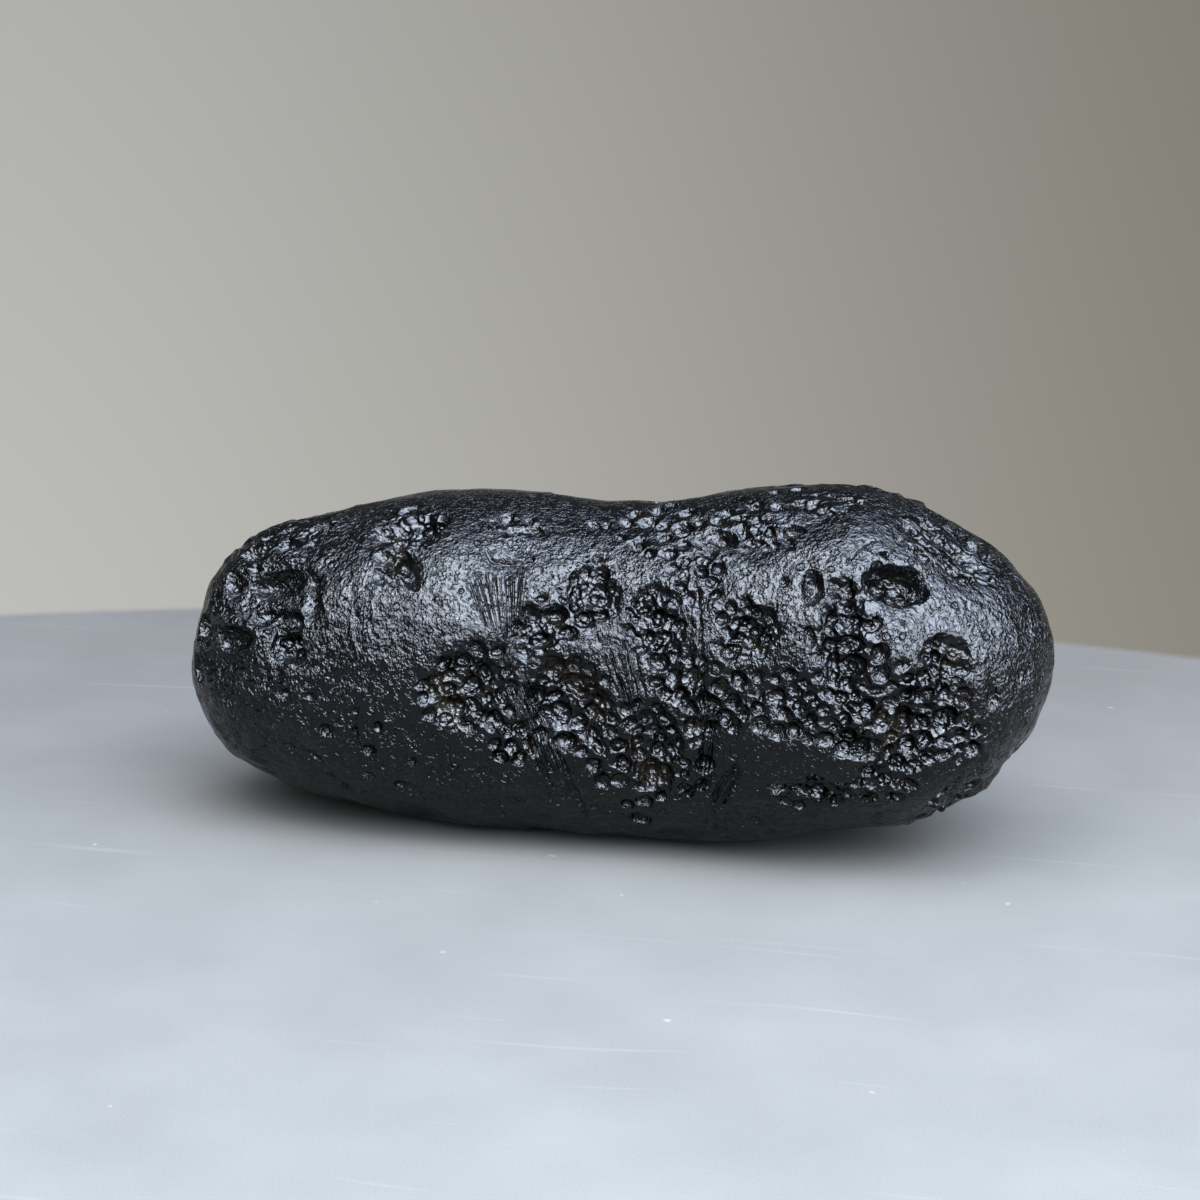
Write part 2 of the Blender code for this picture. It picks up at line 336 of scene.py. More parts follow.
# Patches crowded with bowls: x, y, length, width, turn, the largest bowl, and how full.
PATCHES = [
    (257, 552, 40, 34, 10, 23, 1.0),
    (288, 646, 36, 30, -10, 23, 0.8),
    (292, 536, 64, 24, 10, 23, 0.8),
    (420, 528, 60, 44, 5, 23, 1.0),
    (392, 553, 40, 56, 10, 23, 0.7),
    (468, 692, 92, 84, 20, 24, 1.0),
    (517, 742, 46, 60, -60, 23, 1.0),
    (520, 528, 46, 24, 0, 23, 0.6),
    (592, 598, 62, 66, 0, 24, 1.0),
    (543, 634, 80, 44, 22, 23, 1.0),
    (572, 705, 96, 86, -50, 23, 0.9),
    (630, 750, 84, 84, -40, 23, 0.9),
    (658, 625, 56, 84, 0, 23, 1.0),
    (660, 530, 100, 54, 0, 23, 0.6),
    (700, 575, 54, 64, 0, 23, 0.6),
    (757, 526, 84, 46, 0, 23, 0.7),
    (826, 503, 74, 26, 0, 23, 1.0),
    (750, 630, 60, 56, 0, 23, 1.0),
    (690, 700, 76, 90, 0, 23, 0.8),
    (672, 765, 76, 76, 0, 23, 0.9),
    (745, 700, 110, 54, 0, 23, 0.6),
    (800, 705, 56, 76, -20, 23, 0.9),
    (848, 640, 60, 130, 0, 26, 1.0),
    (850, 715, 66, 76, -20, 23, 1.0),
    (885, 583, 56, 34, -8, 23, 0.9),
    (950, 664, 50, 56, 0, 23, 1.0),
    (910, 725, 80, 120, 0, 24, 1.0),
    (955, 725, 56, 76, 20, 24, 1.0),
    (812, 794, 90, 30, 4, 23, 1.0),
    (885, 785, 76, 44, 30, 23, 1.0),
    (950, 552, 110, 44, -30, 23, 0.9),
    (955, 803, 110, 24, 24, 23, 0.5),
    (640, 812, 60, 20, 0, 23, 0.4),
    (830, 490, 120, 14, 0, 23, 0.4),
]

# Places where the skin is torn into sharp crests: x, y, length, width, turn, how strongly.
TORN = [
    (235, 620, 120, 240, 0, 0.45),
    (330, 640, 140, 120, -20, 0.15),
    (300, 545, 170, 60, 20, 0.5),
    (960, 545, 180, 80, -35, 0.35),
    (1045, 680, 60, 230, 0, 0.5),
    (990, 790, 140, 60, 35, 0.9),
    (400, 770, 330, 90, -12, 0.35),
    (640, 815, 420, 50, 0, 0.35),
    (1000, 660, 80, 200, 0, 0.3),
]

# Fans of flow lines: the two ends of the first line and of the last one, in pixels, how many lines they
# span, and how deep the deepest are in millimetres.
FANS = [
    ((458, 562), (496, 658), (536, 558), (520, 656), 18, 0.08),
    ((494, 656), (558, 816), (524, 664), (590, 816), 10, 0.45),
    ((600, 634), (630, 728), (632, 636), (648, 722), 9, 0.36),
    ((706, 700), (692, 800), (722, 690), (716, 802), 6, 0.36),
    ((738, 764), (708, 806), (750, 762), (726, 812), 4, 0.30),
]
# Creases, as the pixels along them.
CREASES = [
    [(487, 549), (494, 560), (507, 564), (520, 563), (531, 560)],
    [(694, 545), (698, 590), (702, 640), (704, 690), (704, 740), (703, 780), (708, 824)],
    [(736, 766), (722, 784), (714, 806), (716, 830)],
    [(872, 544), (860, 552), (850, 564)],
    [(265, 567), (286, 563), (310, 560)],
    [(780, 532), (790, 540), (795, 552)],
]

# The room's soft light: colour, radiance, directions over and aside, and the angles between which it fades.
ROOM_GLOWS = [
    ((0.80, 0.88, 1.0), 16.4, 53.0, 1.0, 5.0, 48.5),
    ((0.60, 0.75, 1.0), 8.2, 83.0, 24.0, 5.0, 48.0),
    ((0.80, 0.88, 1.0), 12.6, 46.0, 48.0, 8.0, 48.0),
]
ROOM_GREY = (0.09, 0.09, 0.095, 1)
WALL_LEFT, WALL_RIGHT = (0.550, 0.550, 0.531, 1), (0.251, 0.235, 0.198, 1)
# How the picture is developed. The light and the colours are set for this.
PICTURE_GAMMA = 0.9

# The table top: a disc whose edge fades out over its last few millimetres.
TABLE_MIDDLE, TABLE_RADIUS, TABLE_FADE = Vector((8.3, -126.0, 0.0)), 204.0, 3.5
# The table's colour far from the camera and near it. Painted light: the far colour is darker and the near
# one lighter, as light falls off away from the camera.
TABLE_FAR_SHADED, TABLE_NEAR_LIT = (0.0625, 0.0580, 0.0535, 1), (0.1365, 0.135, 0.125, 1)

# The glass. Its index is lower than a real tektite's, which keeps the table's reflection in it dark enough.
GLASS_IOR = 1.40
GLASS, DIRT = (0.0010, 0.0010, 0.0012, 1), (0.0110, 0.0085, 0.0050, 1)
SATIN_ROUGHNESS, GLOSSY_ROUGHNESS = (0.10, 0.155), 0.09
# How far its fine bumps stand out of the skin, or are cut into it. Textures' scales are per metre.
WRINKLES, PITS, RIMS, GRAIN = 0.06, -0.09, -0.08, 0.11
LARGE_FOAM, SMALL_FOAM = 0.50, 0.22
CRESTS, SWELL, CUTS = -1.00, 0.25, -0.16


class View:
    """A camera at the photograph's distance. Places in it are given in a 1200 x 1200 frame."""

    def __init__(self, azimuth, elevation, roll=0.0):
        turn, lift, tip = math.radians(azimuth), math.radians(elevation), math.radians(roll)
        flat = math.cos(lift)
        self.back = Vector((math.sin(turn) * flat, -math.cos(turn) * flat, math.sin(lift)))
        level = Vector((math.cos(turn), math.sin(turn), 0.0))
        upright = self.back.cross(level)
        self.right = level * math.cos(tip) + upright * math.sin(tip)
        self.up = upright * math.cos(tip) - level * math.sin(tip)
        millimetre = FOCAL_PIXELS / DISTANCE
        across = (STONE_MIDDLE_PIXEL[0] - PHOTO_SIZE / 2) / millimetre
        down = (STONE_MIDDLE_PIXEL[1] - PHOTO_SIZE / 2) / millimetre
        self.eye = STONE_MIDDLE - self.right * across + self.up * down + self.back * DISTANCE

    def ray(self, x, y):
        middle = PHOTO_SIZE / 2
        across, upward = (x - middle) / FOCAL_PIXELS, (middle - y) / FOCAL_PIXELS
        return (self.right * across + self.up * upward - self.back).normalized()

    def pixels(self, points):
        """Where many points fall in the frame."""
        away = points - np.array(self.eye)
        far = -(away @ np.array(self.back))
        x = PHOTO_SIZE / 2 + FOCAL_PIXELS * (away @ np.array(self.right)) / far
        y = PHOTO_SIZE / 2 - FOCAL_PIXELS * (away @ np.array(self.up)) / far
        return x, y

    def facing(self, points, normals):
        """How squarely each point faces the camera, from -1 to 1."""
        toward = np.array(self.eye) - points
        toward /= np.linalg.norm(toward, axis=1)[:, None]
        return np.einsum("ij,ij->i", toward, normals)


SHOW_SIDE = View(10.0, 14.0, 1.2)
HIGH_ABOVE = View(10.0, 70.0)

# The views from which the other sides are marked, and how many marks each side gets, as a share of the most.
HIDDEN_SIDES = [
    (View(190.0, 14.0), 1.0),
    (View(10.0, 80.0), 0.8),
    (View(190.0, -45.0), 0.8),
    (View(10.0, -60.0), 0.6),
    (View(100.0, 0.0), 1.0),
    (View(-80.0, 0.0), 1.0),
]
MOST_GOUGES, MOST_PATCHES, MOST_BOWLS, MOST_FANS = 16, 15, 40, 6
# What chance draws for each of those marks, in pixels and degrees: x, y, length, width, turn and so on.
GOUGE_SPANS = ((190, 1050), (490, 820), (36, 100), (22, 46), (0, 180))
PATCH_SPANS = ((170, 1070), (480, 830), (50, 130), (36, 80), (0, 180), (18, 30), (0.5, 1))
BOWL_SPANS = ((180, 1060), (480, 830), (9, 17))
# A fan: x, y, its height, its lean, and its breadth at the top and, beyond the lean, at the foot.
FAN_SPANS = ((240, 980), (500, 720), (50, 110), (-30, 30), (20, 45), (20, 60))
FAN_LINES = 9
# Such marks keep to places that face at least this far away from the photograph's camera.
HIDDEN_FACING = -0.05


def make_camera():
    """The photograph's camera, and how its picture is developed."""
    data = bpy.data.cameras.new("photo camera")
    data.lens, data.sensor_width = LENS, SENSOR
    data.clip_start, data.clip_end = 0.01, 20.0
    camera = bpy.data.objects.new("photo camera", data)
    scene = bpy.context.scene
    scene.collection.objects.link(camera)
    turned = Matrix((SHOW_SIDE.right, SHOW_SIDE.up, SHOW_SIDE.back)).transposed().to_4x4()
    camera.matrix_world = Matrix.Translation(SHOW_SIDE.eye * MM) @ turned
    scene.camera = camera
    scene.view_settings.view_transform = "Standard"
    scene.view_settings.gamma = PICTURE_GAMMA


def add_mesh(name, mesh):
    obj = bpy.data.objects.new(name, mesh)
    bpy.context.scene.collection.objects.link(obj)
    return obj


def evaluated(obj):
    """The object's mesh with its modifiers applied. The object itself is removed."""
    graph = bpy.context.evaluated_depsgraph_get()
    mesh = bpy.data.meshes.new_from_object(obj.evaluated_get(graph))
    bpy.data.objects.remove(obj)
    return mesh


def coordinates(mesh):
    values = np.empty(len(mesh.vertices) * 3, np.float32)
    mesh.vertices.foreach_get("co", values)
    return values.reshape(-1, 3).astype(float)


def directions(mesh):
    """The normal of each point."""
    values = np.empty(len(mesh.vertices) * 3, np.float32)
    mesh.vertex_normals.foreach_get("vector", values)
    return values.reshape(-1, 3).astype(float)


def soft_noise(points, size, seed):
    """Smooth noise from -1 to 1, with waves about size across. The long numbers only mix bits."""
    place = points / size + seed * 7.31
    cell = np.floor(place).astype(np.int64)
    share = place - cell
    share = share * share * (3 - 2 * share)
    total = np.zeros(len(points))
    for corner in np.ndindex(2, 2, 2):
        at = cell + corner
        mixed = at[:, 0] * 73856093 ^ at[:, 1] * 19349663 ^ at[:, 2] * 83492791 ^ seed * 2654435761
        mixed = (mixed ^ (mixed >> 13)) * 1274126177 & 0xFFFFFFFF
        mixed = (mixed ^ (mixed >> 16)) & 0xFFFF
        weight = np.prod(np.where(corner, share, 1 - share), axis=1)
        total += weight * (mixed / 32767.5 - 1)
    return total


def noise_vectors(points, size, seed):
    return np.stack([soft_noise(points, size, seed + axis) for axis in range(3)], axis=1)


def soft_step(value, low, high):
    share = np.clip((value - low) / (high - low), 0, 1)
    return share * share * (3 - 2 * share)


def flat_cross(first, second):
    """The cross product of two lists of flat vectors, row by row."""
    return first[:, 0] * second[:, 1] - first[:, 1] * second[:, 0]


class Relief:
    """The stone's smooth surface, in millimetres and in order of x, and how far each point is pressed in."""

    def __init__(self, mesh, guide):
        points = coordinates(mesh) / MM
        warped = points.copy()
        for strength, size, seed in WARPS:
            warped += strength * noise_vectors(points, size, seed)
        self.order = np.argsort(warped[:, 0])
        self.points, self.warped = points[self.order], warped[self.order]
        self.normals = directions(mesh)[self.order]
        self.along = self.warped[:, 0].copy()
        count = len(points)
        self.layers = {name: np.zeros(count) for name in ("gouge", "bowl", "line")}
        self.pitted, self.torn, self.lined = np.zeros(count), np.zeros(count), np.zeros(count)
        self.flow = np.zeros((count, 3))
        self.guide = guide
        self.shown = soft_step(SHOW_SIDE.facing(self.points, self.normals), 0.0, 0.15)

    def seen_at(self, view, x, y):
        """The point and normal under a pixel, or None beside the stone."""
        place, normal, _, _ = self.guide.ray_cast(view.eye, view.ray(x, y))
        return None if place is None else (place, normal)

    def near(self, centre, reach):
        """The points whose x lies within the reach."""
        low, high = np.searchsorted(self.along, (centre[0] - reach, centre[0] + reach))
        return slice(low, high)

    def press(self, view, layer, x, y, length, width, turn, depth_share, gentle=0.2):
        """Presses an oval bowl at a pixel, with walls that are steep where gentle is near 0.

        Where it meets other bowls of its layer, the deepest one counts.
        """
        found = self.seen_at(view, x, y)
        if found is None:
            return
        centre, normal = found
        scale = (centre - view.eye).length / FOCAL_PIXELS
        turned = view.right * math.cos(math.radians(turn)) + view.up * math.sin(math.radians(turn))
        long_axis = np.array((turned - normal * turned.dot(normal)).normalized())
        centre, normal = np.array(centre), np.array(normal)
        wide_axis = np.cross(normal, long_axis)
        length, width, depth = length * scale, width * scale, depth_share * min(length, width) * scale
        part = self.near(centre, max(length, width) / 2)
        away = self.warped[part] - centre
        spread = (away @ long_axis * 2 / length) ** 2 + (away @ wide_axis * 2 / width) ** 2
        inside = (spread < 1) & (np.abs(away @ normal) < max(length, width))
        bowl = (np.sqrt(1 + gentle**2 - spread[inside]) - gentle) / (math.sqrt(1 + gentle**2) - gentle)
        pressed = self.layers[layer][part]
        pressed[inside] = np.maximum(pressed[inside], depth * bowl)

    def groove(self, view, path, width, depth):
        """Presses a groove along a line of pixels, fading towards its ends."""
        path = [found[0] for found in (self.seen_at(view, *at) for at in path) if found is not None]
        path = np.array(path)
        if len(path) < 2:
            return
        for number, (start, end) in enumerate(zip(path, path[1:])):
            part = self.near((start + end) / 2, np.abs(end - start)[0] / 2 + width)
            points = self.warped[part]
            run = end - start
            share = np.clip((points - start) @ run / (run @ run), 0, 1)
            away = np.linalg.norm(points - start - share[:, None] * run, axis=1)
            inside = away < width / 2
            travelled = (number + share[inside]) / (len(path) - 1)
            fade = np.sin(math.pi * (0.06 + 0.88 * travelled)) ** 0.5
            pressed = self.layers["line"][part]
            shape = np.cos(math.pi * away[inside] / width) ** 2
            pressed[inside] = np.maximum(pressed[inside], depth * shape * fade)

    def part_of(self, view):
        """1 on the skin that this view's marks may cover: the photograph's side belongs to it alone."""
        facing = view.facing(self.points, self.normals)
        if view is SHOW_SIDE:
            return soft_step(facing, -0.2, 0.05)
        return soft_step(facing, 0.05, 0.25) * (1 - self.shown)

    def marked(self, view, patches):
        """How strongly oval patches of a view cover each point, out to a ragged edge."""
        x, y = view.pixels(self.warped)
        ragged = 0.30 * soft_noise(self.points, 1.3, 31) + 0.15 * soft_noise(self.points, 0.6, 32)
        most = np.zeros(len(x))
        for middle_x, middle_y, length, width, turn, *_, strength in patches:
            c, s = math.cos(math.radians(turn)), math.sin(math.radians(turn))
            across, upward = x - middle_x, middle_y - y
            spread = np.hypot((across * c + upward * s) * 2 / length, (upward * c - across * s) * 2 / width)
            most = np.maximum(most, strength * soft_step(spread + ragged, 1.15, 0.75))
        return most * self.part_of(view)

    def lay_fan(self, view, corners, lines, number):
        """Gives the skin of a fan its flow coordinates: lines across it and millimetres along them.

        Where a pixel lies between the corners is found in a few of Newton's steps.
        """
        corners = np.array(corners, float)
        start, end, last_start, last_end = corners
        pixels = np.stack(view.pixels(self.points), axis=1)
        least, most = corners.min(axis=0) - FAN_MARGIN, corners.max(axis=0) + FAN_MARGIN
        within = ((pixels > least) & (pixels < most)).all(axis=1) & (self.part_of(view) > 0.5)
        pixels = pixels[within]
        along, across = np.full(len(pixels), 0.5), np.full(len(pixels), 0.5)
        run, breadth = end - start, last_start - start
        skew = last_end - last_start - run
        for _ in range(6):
            miss = start + np.outer(along, run) + np.outer(across, breadth) + np.outer(along * across, skew)
            miss -= pixels
            by_along, by_across = run + np.outer(across, skew), breadth + np.outer(along, skew)
            size = flat_cross(by_along, by_across)
            size = np.where(np.abs(size) < 1, 1, size)
            along = np.clip(along - flat_cross(miss, by_across) / size, -0.5, 1.5)
            across = np.clip(across - flat_cross(by_along, miss) / size, -0.5, 1.5)
        ragged = 0.3 * soft_noise(self.points[within], 0.5, 33)
        edge = soft_step(np.minimum(along, 1 - along) + ragged, 0, 0.4)
        edge *= soft_step(np.minimum(across, 1 - across), 0, 0.12)
        better = edge > self.lined[within]
        chosen = np.flatnonzero(within)[better]
        self.lined[chosen] = edge[better]
        length = np.linalg.norm(run) * DISTANCE / FOCAL_PIXELS
        flow = np.stack((across * lines, along * length, np.full(len(along), number * FANS_APART)), axis=1)
        self.flow[chosen] = flow[better]


def coarse_body():
    """The CAD stone without its facets, as a coarse, even and smooth net."""
    body = add_mesh("coarse body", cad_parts["tektite"].data.copy())
    remesh = body.modifiers.new("net", "REMESH")
    remesh.mode, remesh.voxel_size = "VOXEL", COARSE_NET * MM
    smooth = body.modifiers.new("smooth", "SMOOTH")
    smooth.factor, smooth.iterations = 0.5, 4
    return evaluated(body)


def fine_body(coarse):
    body = add_mesh("fine body", coarse)
    finer = body.modifiers.new("finer", "SUBSURF")
    finer.levels = finer.render_levels = FINE_LEVELS
    return evaluated(body)


def guide_tree(mesh):
    """The mesh in millimetres, as a tree that rays are cast at."""
    points = [v.co / MM for v in mesh.vertices]
    return BVHTree.FromPolygons(points, [tuple(p.vertices) for p in mesh.polygons])


def crowd(relief, view, rng, patches, bowls, keep):
    """Fills the patches with bowls that touch one another, around the bowls already there."""
    taken = [(x, y, (length + width) / 2) for x, y, length, width, *_ in bowls]
    for middle_x, middle_y, length, width, turn, largest, fullness in patches:
        c, s = math.cos(math.radians(turn)), math.sin(math.radians(turn))
        for _ in range(int(fullness**2 * length * width / SMALLEST_BOWL**2 * CROWD_TRIES)):
            reach, angle = math.sqrt(rng.random()) * 0.5, rng.random() * math.tau
            along, across = reach * length * math.cos(angle), reach * width * math.sin(angle)
            x, y = middle_x + along * c - across * s, middle_y - along * s - across * c
            size = SMALLEST_BOWL + (largest - SMALLEST_BOWL) * rng.random() ** FEW_LARGE
            others = np.array(taken).reshape(-1, 3)
            gaps = np.hypot(others[:, 0] - x, others[:, 1] - y) - CROWD_SPACING * (others[:, 2] + size)
            if (len(gaps) and gaps.min() < 0) or not keep(relief.seen_at(view, x, y)):
                continue
            taken.append((x, y, size))
            ratio = rng.uniform(0.72, 1.0)
            size *= CROWD_OVERLAP
            relief.press(view, "bowl", x, y, size, size * ratio, rng.uniform(0, 180), rng.uniform(0.32, 0.5))


def press_show_side(relief, rng):
    view = SHOW_SIDE
    for gouge in GOUGES:
        relief.press(view, "gouge", *gouge, gentle=0.5)
    for gouge in EDGE_GOUGES:
        relief.press(HIGH_ABOVE, "gouge", *gouge, gentle=0.5)
    for x, y, length, width, turn, depth in BOWLS:
        relief.press(view, "bowl", x, y, length, width, turn, depth * DEEPER)
    crowd(relief, view, rng, PATCHES, BOWLS, lambda found: found is not None)
    relief.pitted = relief.marked(view, PATCHES)
    relief.torn = relief.marked(view, TORN)
    for number, (*corners, count, deepest) in enumerate(FANS):
        relief.lay_fan(view, corners, count, number)
        first_start, first_end, last_start, last_end = np.array(corners)
        for line in range(0, count, 2):
            share = (line + rng.uniform(-0.6, 0.6)) / (count - 1)
            start = first_start * (1 - share) + last_start * share
            end = first_end * (1 - share) + last_end * share
            trim = rng.uniform(0, 0.3), rng.uniform(0.7, 1)
            path = [start * (1 - step) + end * step for step in np.linspace(*trim, 7)]
            relief.groove(view, path, rng.uniform(0.4, 0.6), deepest * rng.uniform(0.4, 1))
    for crease in CREASES:
        relief.groove(view, crease, CREASE_WIDTH, CREASE_DEPTH)


def press_hidden_sides(relief, rng):
    """Gives the sides that the photograph doesn't show the same kinds of marks, placed by chance."""

    def keep(found):
        if found is None:
            return False
        place, normal = (np.array([vector]) for vector in found)
        return SHOW_SIDE.facing(place, normal)[0] < HIDDEN_FACING

    def drawn(spans):
        return [rng.uniform(*span) for span in spans]

    for view, share in HIDDEN_SIDES:
        for _ in range(int(MOST_GOUGES * share)):
            x, y, length, width, turn = drawn(GOUGE_SPANS)
            if keep(relief.seen_at(view, x, y)):
                relief.press(view, "gouge", x, y, length, width, turn, rng.uniform(0.12, 0.34), gentle=0.9)
        patches = []
        for _ in range(int(MOST_PATCHES * share)):
            *oval, largest, fullness = drawn(PATCH_SPANS)
            patches.append((*oval, max(largest, LARGE_BOWL), fullness))
        crowd(relief, view, rng, patches, [], keep)
        relief.pitted = np.maximum(relief.pitted, relief.marked(view, patches))
        torn = [(*patch[:5], 0.8) for patch in patches[::3]]
        relief.torn = np.maximum(relief.torn, relief.marked(view, torn))
        for _ in range(int(MOST_BOWLS * share)):
            x, y, size = drawn(BOWL_SPANS)
            if keep(relief.seen_at(view, x, y)):
                relief.press(view, "bowl", x, y, size, size * rng.uniform(0.7, 1), 0, rng.uniform(0.2, 0.35))
        for _ in range(int(MOST_FANS * share)):
            x, y, run, lean, top, foot = drawn(FAN_SPANS)
            corners = (x, y), (x + lean, y + run), (x + top, y), (x + lean + foot, y + run)
            relief.lay_fan(view, corners, FAN_LINES, int(rng.integers(20, 90)))


def displaced(mesh, relief):
    """Writes the pressed surface into the mesh, and keeps what its material needs to know of each point."""

    def noise(size, seed, points=relief.points):
        return soft_noise(points, size, seed)

    skin = sum(strength * noise(size, seed) for strength, size, seed in SKIN_WAVES)
    # pitted skin sinks unevenly
    skin += relief.pitted * (0.26 * noise(2.8, 3) - 0.20)
    # torn skin stands up in ridges, where the noise is near 0
    crests = 0.34 - np.abs(noise(3.4, 5, relief.warped)) - 0.4 * np.abs(noise(1.5, 6, relief.warped))
    skin += relief.torn * crests
    depth = sum(relief.layers.values())
    points = np.empty_like(relief.points)
    points[relief.order] = relief.points + relief.normals * (skin - depth)[:, None]
    mesh.vertices.foreach_set("co", (points * MM).ravel())

    def keep(name, kind, field, values):
        stored = np.empty_like(values, dtype=np.float32)
        stored[relief.order] = values
        mesh.attributes.new(name, kind, "POINT").data.foreach_set(field, stored.ravel())

    keep("pitted", "FLOAT", "value", relief.pitted)
    keep("deep", "FLOAT", "value", np.clip(depth / DEEP, 0, 1))
    keep("torn", "FLOAT", "value", relief.torn)
    keep("lined", "FLOAT", "value", relief.lined)
    keep("flow", "FLOAT_VECTOR", "vector", relief.flow)
    mesh.update()


def thinned(mesh, shown):
    """The mesh in fewer triangles, drawn in where it is flattest and most of all on its hidden sides."""
    body = add_mesh("full body", mesh)
    hidden = body.vertex_groups.new(name="hidden")
    hidden.add(np.flatnonzero(shown < 0.5).tolist(), 1.0, "REPLACE")
    full = 2 * len(mesh.polygons)
    fewer = full * float(np.mean(shown >= 0.5)) + HIDDEN_TRIANGLES
    for name, start, end in (("hidden side", full, fewer), ("shown side", fewer, MOST_TRIANGLES)):
        thin = body.modifiers.new(name, "DECIMATE")
        thin.vertex_group, thin.invert_vertex_group = "hidden", name == "shown side"
        thin.use_collapse_triangulate = True
        thin.ratio = end / start
    return evaluated(body)


def fit_to_frame(mesh):
    """Brings the visual stone to the CAD node's box."""
    low, high = (np.array(corner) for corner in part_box("tektite"))
    points = coordinates(mesh)
    least, most = points.min(axis=0), points.max(axis=0)
    points = (points - least) / (most - least) * (high - low) + low
    mesh.vertices.foreach_set("co", points.ravel())
    mesh.update()


class Nodes:
    """Short ways to add and join a material's nodes."""

    def __init__(self, tree):
        self.tree = tree

    def add(self, kind, settings=None, **inputs):
        node = self.tree.nodes.new(kind)
        for name, value in (settings or {}).items():
            setattr(node, name, value)
        for name, value in inputs.items():
            self.feed(node.inputs[name.replace("_", " ")], value)
        return node

    def feed(self, socket, value):
        if isinstance(value, bpy.types.NodeSocket):
            self.tree.links.new(value, socket)
        else:
            socket.default_value = value

    def math(self, operation, first, second=None, third=None):
        node = self.tree.nodes.new("ShaderNodeMath")
        node.operation = operation
        for socket, value in zip(node.inputs, (first, second, third)):
            if value is not None:
                self.feed(socket, value)
        return node.outputs[0]

    def vector(self, operation, first, second):
        """A sum with vectors. For SCALE, the second value is a number."""
        node = self.add("ShaderNodeVectorMath", {"operation": operation})
        self.feed(node.inputs[0], first)
        self.feed(node.inputs["Scale" if operation == "SCALE" else 1], second)
        return node.outputs["Value" if operation in ("DOT_PRODUCT", "DISTANCE") else "Vector"]

    def mix(self, share, first, second, kind="RGBA"):
        node = self.add("ShaderNodeMix", {"data_type": kind}, Factor=share, A=first, B=second)
        return node.outputs["Result"]

    def noise(self, place, scale, detail, roughness=0.5):
        node = self.add("ShaderNodeTexNoise", Vector=place, Scale=scale, Detail=detail, Roughness=roughness)
        return node.outputs["Fac"]

    def cells(self, place, scale):
        return self.add("ShaderNodeTexVoronoi", Vector=place, Scale=scale)

    def attribute(self, name, output="Fac"):
        return self.add("ShaderNodeAttribute", {"attribute_name": name}).outputs[output]

    def remap(self, value, from_low, from_high, to_low, to_high, kind="LINEAR"):
        limits = {"From_Min": from_low, "From_Max": from_high, "To_Min": to_low, "To_Max": to_high}
        node = self.add("ShaderNodeMapRange", {"interpolation_type": kind}, Value=value, **limits)
        return node.outputs["Result"]

    def near(self, value, middle, width):
        """1 where the value is at the middle, falling to 0 at the width from it."""
        away = self.math("ABSOLUTE", self.math("SUBTRACT", value, middle))
        return self.remap(away, 0.0, width, 1.0, 0.0)

    def some(self, cells, share):
        """1 in this share of the cells of a Voronoi texture, and 0 in the others."""
        chance = self.add("ShaderNodeSeparateXYZ", Vector=cells.outputs["Color"]).outputs["X"]
        return self.math("LESS_THAN", chance, share)

    def bent(self, place, scale, amount):
        """The place, pushed about by soft noise."""
        noise = self.add("ShaderNodeTexNoise", Vector=place, Scale=scale, Detail=1.0).outputs["Color"]
        push = self.vector("SCALE", self.vector("SUBTRACT", noise, (0.5, 0.5, 0.5)), amount)
        return self.vector("ADD", place, push)


def new_material(name):
    """A material, short ways to its nodes, and its shader."""
    material = bpy.data.materials.new(name)
    material.use_nodes = True
    return material, Nodes(material.node_tree), material.node_tree.nodes["Principled BSDF"]


def skin_bumps(nodes, place, bent):
    """The height of the satin skin: broken wrinkles, small round pits, a few bubble rims and grain."""
    upright = nodes.add("ShaderNodeMapping", Vector=place, Scale=(1.0, 1.0, 0.6)).outputs[0]
    wrinkle = nodes.math("SUBTRACT", 1.0, nodes.near(nodes.noise(upright, 1200.0, 3.0, 0.6), 0.5, 0.05))
    broken = nodes.remap(nodes.noise(place, 1800.0, 1.0), 0.42, 0.55, 1.0, 0.0)
    wrinkle = nodes.math("MAXIMUM", wrinkle, broken)
    pits, rims = nodes.cells(upright, 2000.0), nodes.cells(bent, 600.0)
    pit = nodes.remap(pits.outputs["Distance"], 0.06, 0.26, 1.0, 0.0)
    pit = nodes.math("MULTIPLY", pit, nodes.some(pits, 0.55))
    rim = nodes.near(rims.outputs["Distance"], 0.19, 0.045)
    rim = nodes.math("MULTIPLY", rim, nodes.some(rims, 0.7))
    height = nodes.math("MULTIPLY", wrinkle, WRINKLES * MM)
    height = nodes.math("MULTIPLY_ADD", pit, PITS * MM, height)
    height = nodes.math("MULTIPLY_ADD", rim, RIMS * MM, height)
    return nodes.math("MULTIPLY_ADD", nodes.noise(upright, 3600.0, 2.0), GRAIN * MM, height)


def foam_bumps(nodes, place, bent):
    """The height of bubble pits that crowd together, in two sizes."""
    large = nodes.cells(bent, 760.0).outputs["Distance"]
    small = nodes.cells(nodes.bent(place, 2000.0, 0.0002), 1700.0).outputs["Distance"]
    height = nodes.math("MULTIPLY", nodes.math("POWER", large, 2.0), LARGE_FOAM * MM)
    return nodes.math("MULTIPLY_ADD", nodes.math("POWER", small, 2.0), SMALL_FOAM * MM, height)


def beside_crests(nodes, place):
    """0 along sharp, winding little crests, and more the further from them."""
    return nodes.math("ABSOLUTE", nodes.math("SUBTRACT", nodes.noise(place, 1200.0, 1.0), 0.5))


def flow_cuts(nodes):
    """1 in the middle of the flow lines, which are long, thin cuts, and 0 beside them."""
    fibres = nodes.add("ShaderNodeMapping", Vector=nodes.attribute("flow", "Vector"), Scale=(1.0, 0.09, 1.0))
    place = nodes.bent(fibres.outputs[0], 0.7, 0.3)
    cuts = nodes.add("ShaderNodeTexVoronoi", {"feature": "DISTANCE_TO_EDGE"}, Vector=place, Scale=1.1)
    return nodes.remap(cuts.outputs["Distance"], 0.0, 0.15, 1.0, 0.0)


